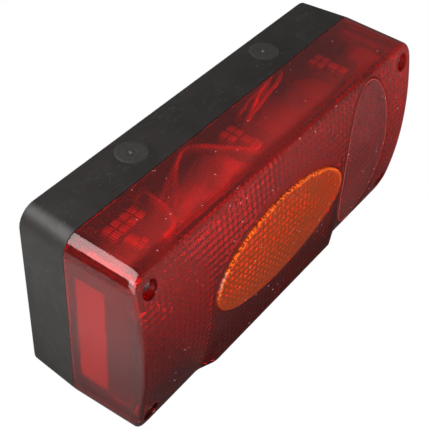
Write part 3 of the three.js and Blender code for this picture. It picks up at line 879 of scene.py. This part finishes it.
def add_outer_face(skin, outline):
    loops = [outline]
    for inset in (0.12, 0.45, 1.0, EDGE_ROUND):
        loops.append([wall_point(entry, inset, 1) for entry in LENS_OUTLINE[::3]])
    loops += [ellipse(oval, HOLE_GROW + grow) for oval in (AMBER, OVAL) for grow in (0, HOLE_ROUND)]
    well_rims = [COUNTERBORE_RADIUS + grow for grow in (0, 0.08, WELL_ROUND)]
    loops += [circle(cx, cz, radius) for cx, cz in CORNERS for radius in well_rims]
    filling = face_filling(2.0, COUNTERBORE_RADIUS + 1, 2.4)
    add_skin(skin, *sheet(loops, filling, lambda x, z: in_face(x, z, COUNTERBORE_RADIUS), outer_height))


def add_inner_face(skin, outline):
    loops = [outline] + [ellipse(oval, HOLE_GROW) for oval in (AMBER, OVAL)]
    loops += [circle(cx, cz, PILLAR_RADIUS) for cx, cz in CORNERS]
    filling = face_filling(PILLOW_PITCH / PILLOW_STEPS, PILLAR_RADIUS + 0.5, LENS_WALL + 0.7)
    add_skin(skin, *sheet(loops, filling, lambda x, z: in_face(x, z, PILLAR_RADIUS), inner_height))


def add_screw_well(skin, cx, cz):
    """A counterbore from the face, the screw's hole, and the pillar round it back to the inner face."""
    rings = [[(x, outer_height(x, z), z) for x, z in circle(cx, cz, COUNTERBORE_RADIUS)]]
    for radius, y in ((COUNTERBORE_RADIUS, COUNTERBORE_FLOOR), (SCREW_HOLE_RADIUS, COUNTERBORE_FLOOR),
                      (SCREW_HOLE_RADIUS, LENS_BACK), (PILLAR_FOOT_RADIUS, LENS_BACK),
                      (PILLAR_FOOT_RADIUS, PILLAR_TAPER[0]), (PILLAR_RADIUS, PILLAR_TAPER[1])):
        rings.append([(x, y, z) for x, z in circle(cx, cz, radius)])
    rings.append([(x, inner_height(x, z), z) for x, z in circle(cx, cz, PILLAR_RADIUS)])
    add_skin(skin, *loft(rings, caps=False))


def lens_cover_mesh():
    outer_rings, outer_outline = wall_rings(lambda entry: 0, lambda x, z: face_y(x, z) + EDGE_ROUND)
    inner_rings, inner_outline = wall_rings(inner_inset, inner_edge_y)
    skin = ([], [])
    add_walls(skin, outer_rings, inner_rings)
    add_opening_sides(skin, outer_rings, inner_rings)
    add_outer_face(skin, outer_outline)
    add_inner_face(skin, inner_outline)
    for oval in (AMBER, OVAL):
        outer, inner = ([(x, height(x, z), z) for x, z in ellipse(oval, HOLE_GROW)]
                        for height in (outer_height, inner_height))
        bridge(skin, outer, inner)
    for cx, cz in CORNERS:
        add_screw_well(skin, cx, cz)
    return make_mesh("lens_cover", *skin)


def mark_frost(mesh):
    """Frost is 1 on the inside of both end walls. Rim is 1 on the edges of both oval holes, which get painted
    shade.
    """
    shaded_hole_edge = mesh.attributes.new("rim", "FLOAT", "POINT")
    frost = mesh.attributes.new("frost", "FLOAT", "POINT")
    for i, vertex in enumerate(mesh.vertices):
        x, y, z = (c / MM for c in vertex.co)
        matt = step_between(*FROST_FADE["start_x"], abs(x)) * (1 - step_between(*FROST_FADE["end_x"], abs(x)))
        matt *= step_between(*FROST_FADE["front"], y) * (1 - step_between(*FROST_FADE["end_z"], abs(z)))
        frost.data[i].value = matt
        shaded_hole_edge.data[i].value = 0.0 if clear_of_ovals(x, z, HOLE_GROW + 0.05) else 1.0


lens_mesh = tidied(lens_cover_mesh(), 50)
mark_frost(lens_mesh)
piece("lens_cover", lens_mesh, "red_lens", "lens_cover", ["lens_red"])


# ---- the two ovals in the face ----
def oval_mesh(name, oval, proud, thickness, optics_height):
    """A window of the face's own curve, standing proud by the given height, with optics on its back."""
    draft = AMBER_DRAFT if proud else HOLE_ROUND

    def front_height(x, z):
        depth = min(max(-beyond_ellipse(oval, x, z) / draft, 0), 1)
        fallen = 0 if proud else HOLE_ROUND * (1 - depth)
        return barrel_y(z) - proud * depth + fallen

    def back_height(x, z):
        mask = step_between(*OPTICS_FADE["edge"], -beyond_ellipse(oval, x, z))
        return barrel_y(z) + thickness + optics_height * pillow(x, z) * mask

    def filling(step, margin):
        return [place for place in grid_points(step) if beyond_ellipse(oval, *place) < -margin]

    def keep(x, z):
        return beyond_ellipse(oval, x, z) < 0.2

    rim_loop = ellipse(oval)
    front_loops = [rim_loop, ellipse(oval, -draft)]
    skin = ([], [])
    add_skin(skin, *sheet(front_loops, filling(2.0, 1.6), keep, front_height))
    add_skin(skin, *sheet([rim_loop], filling(PILLOW_PITCH / PILLOW_STEPS, 0.9), keep, back_height))
    bridge(skin, [(x, front_height(x, z), z) for x, z in rim_loop],
           [(x, back_height(x, z), z) for x, z in rim_loop])
    mesh = tidied(make_mesh(name, *skin), 40)
    # Marks the front edge: a painted highlight on the amber's proud rim (glow), painted shade on the reflex
    # oval's edge (rim).
    rim_highlight_and_shade = mesh.attributes.new("glow" if proud else "rim", "FLOAT", "POINT")
    for i, vertex in enumerate(mesh.vertices):
        x, y, z = (c / MM for c in vertex.co)
        near_front = y < barrel_y(z) + 0.4
        rim_highlight_and_shade.data[i].value = 1.0 if near_front and beyond_ellipse(oval, x, z) > -draft - 0.06 else 0.0
    return mesh


amber_mesh = oval_mesh("amber_window", AMBER, AMBER_PROUD, LENS_WALL, AMBER_PILLOW_HEIGHT)
piece("amber_oval", amber_mesh, "amber_lens", "lens_cover", ["amber_window"])
reflex_mesh = oval_mesh("reflex_reflector", OVAL, 0, 1.7, 0.25)
piece("reflex_oval", reflex_mesh, "red_reflex", "lens_cover", ["reflex_reflector"])


# ---- housing ----
SLEEVE_X = (-40, 40)
SLEEVE_RADIUS = 5
CABLE_ENTRY = (-44, -36)
CABLE_ENTRY_RADIUS = 6.3
RIM_STEP = {"width": 1.4, "depth": 2.2}
BOSS_WEB = (6, 24, 1.6)
IN_BACK_WALL = -1
BEHIND_BACK = 1
HOLE_END = -20
SCREW_HOLE_FLOOR = -9
SLEEVE_BOSS_END = -9
FRONT_EDGE = 0.25
BACK_EDGE = 0.9
EDGE_STEPS = 5


def housing_block(inset, back, front, edge_round=0.0):
    outline = rim(LENGTH / 2 - inset, HEIGHT / 2 - inset, CORNER_RADIUS - inset, 12, 16)
    levels = [(front, 0), (back, 0)]
    if edge_round:
        levels = [(front, FRONT_EDGE), (front + FRONT_EDGE, 0), (back - edge_round, 0)]
        for i in range(1, EDGE_STEPS + 1):
            angle = math.pi / 2 * i / EDGE_STEPS
            levels.append((back - edge_round * (1 - math.sin(angle)), edge_round * (1 - math.cos(angle))))
    rings = []
    for y, pulled in levels:
        share = (y + BASE_DEPTH) / BASE_DEPTH
        scale_x = 1 - share * BASE_END_DRAFT / (LENGTH / 2)
        scale_z = 1 - share * BASE_SIDE_DRAFT / (HEIGHT / 2)
        drawn_in = [(x - nx * pulled, z - nz * pulled) for x, z, nx, nz in outline]
        rings.append([(x * scale_x, y, z * scale_z) for x, z in drawn_in])
    return loft(rings)


def bar(radius, back, front, x, z, segments=40):
    return turned([(0, back), (radius, back), (radius, front), (0, front)], x, z, segments)


def upright(shape, x, y, z, side):
    """Turns a body made about the Y axis so that its front end points up (side 1) or down (side -1)."""
    vertices, faces = shape
    return [(x + vx, y + vz, z - side * vy) for vx, vy, vz in vertices], faces


def knockout_disc(x, side):
    surface = HEIGHT / 2 - BASE_SIDE_DRAFT * (BASE_DEPTH + DISC_Y) / BASE_DEPTH
    profile = [(0, 0.9), (DISC_RADIUS, 0.9), (DISC_RADIUS, -0.14), (DISC_RADIUS - 0.15, -0.2),
               (5.3, -0.2), (5.15, -0.17), (5.0, -0.2),
               (2.4, -0.21), (2.1, -0.15), (1.5, -0.18), (1.2, -0.7), (0.8, -0.95), (0, -0.95)]
    return upright(turned(profile, 0, 0, 64), x, DISC_Y, side * surface, side)


def housing_mesh():
    beyond_front = -BASE_DEPTH - 1
    step_floor = RIM_STEP["depth"] - BASE_DEPTH
    hollows = [housing_block(BASE_WALL, -BASE_WALL, beyond_front),
               housing_block(BASE_WALL - RIM_STEP["width"], step_floor, beyond_front)]
    added = []
    for x, z in CORNERS:
        added.append(bar(BOSS_RADIUS, IN_BACK_WALL, -BASE_DEPTH + 0.4, x, z))
        added.append(box((x + math.copysign(BOSS_RADIUS, x), IN_BACK_WALL - BOSS_WEB[1] / 2, z), BOSS_WEB))
    added += [bar(SLEEVE_RADIUS + 2, IN_BACK_WALL, SLEEVE_BOSS_END, x, 0) for x in SLEEVE_X]
    added += [knockout_disc(x, side) for x in (-DISC_X, DISC_X) for side in (1, -1)]
    holes = [bar(SCREW_HOLE_RADIUS, SCREW_HOLE_FLOOR, beyond_front, x, z) for x, z in CORNERS]
    holes += [bar(SLEEVE_RADIUS + GAP, BEHIND_BACK, HOLE_END, x, 0) for x in SLEEVE_X]
    holes.append(bar(CABLE_ENTRY_RADIUS, BEHIND_BACK, HOLE_END, *CABLE_ENTRY))
    steps = [("DIFFERENCE", shape) for shape in hollows] + [("UNION", shape) for shape in added]
    steps += [("DIFFERENCE", shape) for shape in holes]
    return combined(housing_block(0, 0, -BASE_DEPTH, BACK_EDGE), steps)


piece("housing", tidied(housing_mesh()), "painted_housing", "base", ["base_housing"])


# ---- lens screws and washers ----
HEAD_SEAT = COUNTERBORE_FLOOR - 2 * GAP - WASHER_THICKNESS
HEAD = {"height": 2.5, "radius": 4.2, "dome": 1.5, "side": 0.9, "steps": 6}
HEAD_TOP = HEAD_SEAT - HEAD["height"]
THREAD = {"root": 1.45, "crest": 2.0, "pitch": 1.4, "turns": 21}
SHAFT_RADIUS = 1.7
CROSS_SLOT = (4.8, 2.4, 0.95)
CROSS_CENTRE_RADIUS = 1.05


def screw_mesh(x, z):
    """A pan-head screw along Y with a cross recess that is turned a little away from upright."""
    root, crest, pitch = THREAD["root"], THREAD["crest"], THREAD["pitch"]
    profile = [(0, SCREW_TIP), (0.6, SCREW_TIP)]
    for k in range(THREAD["turns"]):
        y = SCREW_TIP - 1.5 - pitch * k
        profile += [(root, y), (crest, y - pitch * 0.4), (root, y - pitch * 0.8)]
    radius, dome = HEAD["radius"], HEAD["dome"]
    profile += [(SHAFT_RADIUS, HEAD_SEAT + 14), (SHAFT_RADIUS, HEAD_SEAT), (radius - 0.1, HEAD_SEAT),
                (radius, HEAD_SEAT - 0.2)]
    for k in range(HEAD["steps"] + 1):
        angle = math.pi / 2 * k / HEAD["steps"]
        y = HEAD_SEAT - HEAD["side"] - dome * math.sin(angle)
        profile.append((radius - dome * (1 - math.cos(angle)), y))
    profile.append((0, HEAD_TOP))
    recess = [box((x, HEAD_TOP + 0.1, z), CROSS_SLOT, 25 + turn) for turn in (0, 90)]
    recess.append(bar(CROSS_CENTRE_RADIUS, HEAD_TOP + 1.9, HEAD_TOP - 1, x, z, 24))
    return tidied(combined(turned(profile, x, z, 40), [("DIFFERENCE", shape) for shape in recess]))


def washer_mesh(x, z):
    inner, outer, edge = SCREW_HOLE_RADIUS - 0.1, WASHER_RADIUS, 0.3
    back = COUNTERBORE_FLOOR - GAP
    front = back - WASHER_THICKNESS
    profile = [(inner, back), (outer - edge, back), (outer, back - edge), (outer, front + edge),
               (outer - edge, front), (inner, front), (inner, back)]
    return turned_mesh("washer", profile, x, z)


for number, (x, z) in enumerate(CORNERS, 1):
    piece(f"screw_{number}", screw_mesh(x, z), "zinc", f"screw_{number}", [f"lens_screw_{number}"])
    washer = f"screw_washer_{number}"
    piece(f"washer_{number}", washer_mesh(x, z), "rubber", frame["nodes"][washer]["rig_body"], [washer])


# ---- lamp units ----
CAP_BACK = -8.8
CAP_FRONT = CAP_BACK - 15.5
PIN_Y = CAP_BACK - 7
NECK = CAP_FRONT - 2.1
GLOBE = NECK - 19
GLASS_SKINS = {"outer": (12.5, 6.3), "inner": (11.8, 5.6)}
FILAMENT = {"y": NECK - 17.8, "half": 3.4, "radius": 0.5, "turns": 14, "wire": 0.22}
SHELF_TOP = 44.8
PLATE_Z = SHELF_TOP + 0.4
PLATE = {"y": -42.6, "width": 23, "length": 22.2, "thickness": 0.8, "pad_height": 1.1}
PAD = {"width": 4.3, "length": 4.1, "rows": (-34.7, -39.5)}
LEFT_PADS = [(-8.9, -46.6, 4.8, 6), (-9.7, -51.5, 2.7, 3.6), (-6, -51.5, 2.9, 3.6)]
PLAIN_LAYOUT = (0, (-4.4, 1.2), [(-0.4, -45.4, 5, 5.8), (-0.6, -51.2, 5.4, 4.4)])
PLATE_LAYOUTS = [(-2.6, (-11.7, -6, -0.3, 5.4), LEFT_PADS), PLAIN_LAYOUT, PLAIN_LAYOUT]


def raised_pad(x, y, width, length):
    """A pad pressed up out of the plate: upright sides with a rounded upper edge."""
    low, high = PLATE_Z, SHELF_TOP + PLATE["thickness"] + PLATE["pad_height"]
    rings = []
    for height, inset in ((low, 0), (high - 0.4, 0), (high - 0.12, 0.12), (high, 0.4)):
        outline = rim(width / 2 - inset, length / 2 - inset, 0.6, 6, 4)
        rings.append([(x + px, y + py, height) for px, py, *_ in outline])
    return loft(rings)


def contact_plate_mesh(x, layout):
    """The layout gives the plate's shift, the columns of its square pads, and its other pads."""
    shift, columns, long_pads = layout
    size = (PLATE["width"], PLATE["length"], PLATE["thickness"])
    plate = box((x + shift, PLATE["y"], PLATE_Z), size)
    pads = [(column, row, PAD["width"], PAD["length"]) for column in columns for row in PAD["rows"]]
    return tidied(combined(plate, [("UNION", raised_pad(x + px, *rest)) for px, *rest in pads + long_pads]))


def glass_mesh(x):
    """A pear-shaped bulb with an outer and an inner skin, each given by its globe and its neck."""
    outer, inner = [], []
    for points, (radius, neck) in ((outer, GLASS_SKINS["outer"]), (inner, GLASS_SKINS["inner"])):
        for i in range(25):
            angle = math.radians(142) * i / 24
            points.append((radius * math.sin(angle), GLOBE - radius * math.cos(angle)))
        points += [(neck + 0.25, NECK - 6), (neck, NECK - 4.2), (neck, NECK - 0.1)]
    return turned_mesh("glass", outer + inner[::-1], x, 0, 64)


def cap_mesh(x):
    """A bayonet cap: contact end, shell with a shallow groove, rolled rim and the crossing pin."""
    back = [(0, 0), (2.6, 0), (3.4, 0.5), (3.6, 0.9), (6.7, 0.9), (7.3, 1.2), (7.5, 1.9), (7.5, 10),
            (7.35, 10.4), (7.5, 10.8)]
    front = [(7.5, 0), (7.85, 0.4), (7.9, 1.0), (7.7, 1.5), (7.0, 1.75), (0, 1.75)]
    profile = [(r, CAP_BACK - y) for r, y in back] + [(r, CAP_FRONT - y) for r, y in front]
    pin = turned([(0, 8.6), (0.8, 8.6), (1, 8.4), (1, -8.4), (0.8, -8.6), (0, -8.6)], 0, 0, 24)
    pin_vertices = [(x + vy, PIN_Y + vx, vz) for vx, vy, vz in pin[0]]
    return tidied(combined(turned(profile, x, 0, 56), [("UNION", (pin_vertices, pin[1]))]))


def new_curve(name, radius, resolution):
    """An empty curve with a round section of the given radius."""
    data = bpy.data.curves.new(name, "CURVE")
    data.dimensions = "3D"
    data.bevel_depth = radius * MM
    data.bevel_resolution = resolution
    data.use_fill_caps = True
    return data


def filament_curve(x):
    """Two leads and the coiled filament between them, drawn as one curve."""
    half, radius, turns = FILAMENT["half"], FILAMENT["radius"], FILAMENT["turns"]
    leads = [(-1.2, NECK - 0.4), (-1.2, NECK - 6), (-half, NECK - 12), (-half, NECK - 17)]
    points = [(px, y, 0) for px, y in leads]
    steps = turns * 6
    for i in range(steps + 1):
        angle = 2 * math.pi * i / 6
        along = -half + 2 * half * i / steps
        points.append((along, FILAMENT["y"] + radius * math.cos(angle), radius * math.sin(angle)))
    points += [(-px, y, 0) for px, y in reversed(leads)]
    data = new_curve("filament", FILAMENT["wire"], 2)
    spline = data.splines.new("POLY")
    spline.points.add(len(points) - 1)
    for place, (px, py, pz) in zip(spline.points, points):
        place.co = ((x + px) * MM, py * MM, pz * MM, 1)
    return data


for number, x in enumerate(LAMP_X, 1):
    bulb = f"bulb_{number}"
    plate_mesh = contact_plate_mesh(x, PLATE_LAYOUTS[number - 1])
    piece(f"pads_{number}", plate_mesh, "contact_metal", "base", [f"contact_plate_{number}"])
    glass = "amber_glass" if number == 2 else "bulb_glass"
    piece(f"glass_{number}", glass_mesh(x), glass, bulb, [f"bulb_glass_{number}"])
    piece(f"cap_{number}", cap_mesh(x), "nickel", bulb, [f"bulb_cap_{number}"])
    piece(f"filament_{number}", filament_curve(x), "tungsten", bulb, [f"bulb_filament_{number}"])


# ---- mounting sleeves, grommet ----
SLEEVE = [(3.3, -0.5), (3.5, -0.3), (4.8, -0.3), (5, -0.5), (5, -11.8), (4.8, -12), (3.5, -12),
          (3.3, -11.8), (3.3, -0.5)]
for number, x in enumerate(SLEEVE_X, 1):
    piece(f"sleeve_{number}", turned_mesh("sleeve", SLEEVE, x, 0), "zinc", "base", [f"mount_sleeve_{number}"])

GROMMET = [(3.5, -0.6), (3.8, -0.4), (6, -0.4), (6, -3.3), (7.7, -3.3), (8, -3.6), (8, -5.0), (7.7, -5.3),
           (5.4, -7.5), (3.8, -7.5), (3.5, -7.2), (3.5, -0.6)]
piece("grommet", turned_mesh("grommet", GROMMET, *CABLE_ENTRY, 56), "rubber", "base", ["cable_grommet"])


# ---- wires ----
WIRES = {
    "feed_wire_left": ("yellow_wire", [
        (-5, -11, -40), (-22, -9.5, -33), (-48, -9.6, -18), (-60, -10, -6), (-61, -12, 10), (-62, -19, 29),
        (-65, -28, 42), (-68.5, -38, 46.3), (-71.5, -48, 47), (-77.5, -55.4, 46.5), (-85, -55.4, 45.6)]),
    "feed_wire_centre": ("white_wire", [
        (2, -11, -33.4), (-6, -9.5, -26), (-22, -9.5, -23), (-27, -13, 0), (-29, -18, 28), (-28.5, -24, 43),
        (-26, -33, 48.2), (-21.4, -40.1, 48.3), (-15.9, -48.1, 48.3), (-12.5, -52.6, 48.3), (-8.6, -54, 48.3),
        (-6.4, -52, 48.2), (-6.2, -49.5, 48.2)]),
    "feed_wire_right": ("white_wire", [
        (34, -11, -33.4), (40, -9.8, -17), (50, -9.6, -12), (56, -10, -6), (57, -12, 14),
        (58, -15, 32), (59.8, -19, 40)]),
    "link_wire": ("yellow_wire", [
        (26, -11, -33.4), (27, -13, -22), (30, -16, 4), (46, -16, 26), (54, -19, 42), (50, -27, 47),
        (41, -31.2, 48), (28.7, -33.4, 48), (18, -35.1, 47.6), (6.6, -36.2, 46.5)]),
    "earth_wire": ("white_wire", [
        (14, -11, -33.4), (15, -13, -22), (22, -17, 0), (38, -17, 22), (45, -20, 38), (41, -23.6, 44),
        (30, -25.7, 45), (19, -27, 45), (8.6, -29.5, 44.6)]),
}
WIRE_RADIUS = 1.1


def wire_curve(points):
    data = new_curve("wire", WIRE_RADIUS, 4)
    data.resolution_u = 10
    spline = data.splines.new("BEZIER")
    spline.bezier_points.add(len(points) - 1)
    for place, point in zip(spline.bezier_points, points):
        place.co = Vector(point) * MM
        place.handle_left_type = place.handle_right_type = "AUTO"
    return data


for node, (look, route) in WIRES.items():
    piece(node.replace("wire", "lead"), wire_curve(route), look, "base", [node])


# ---- CAD nodes that stay, each with its own finish ----
KEPT = {
    "rim_gasket": "rubber", "reflex_backing": "black_plastic", "plate_window": "clear_lens",
    "side_panel_left": "side_red", "side_panel_right": "side_red", "bulb_carrier": "black_plastic",
    "bulb_socket": "zinc", "centre_contact": "brass", "chamber_wall": "wall_plastic", "earth_strip": "brass",
    "terminal_block": "white_plastic", "terminal_screw": "nickel",
}
for node, thing in frame["nodes"].items():
    for start, look in KEPT.items():
        if node.startswith(start):
            thing.data.materials.clear()
            thing.data.materials.append(LOOKS[look])
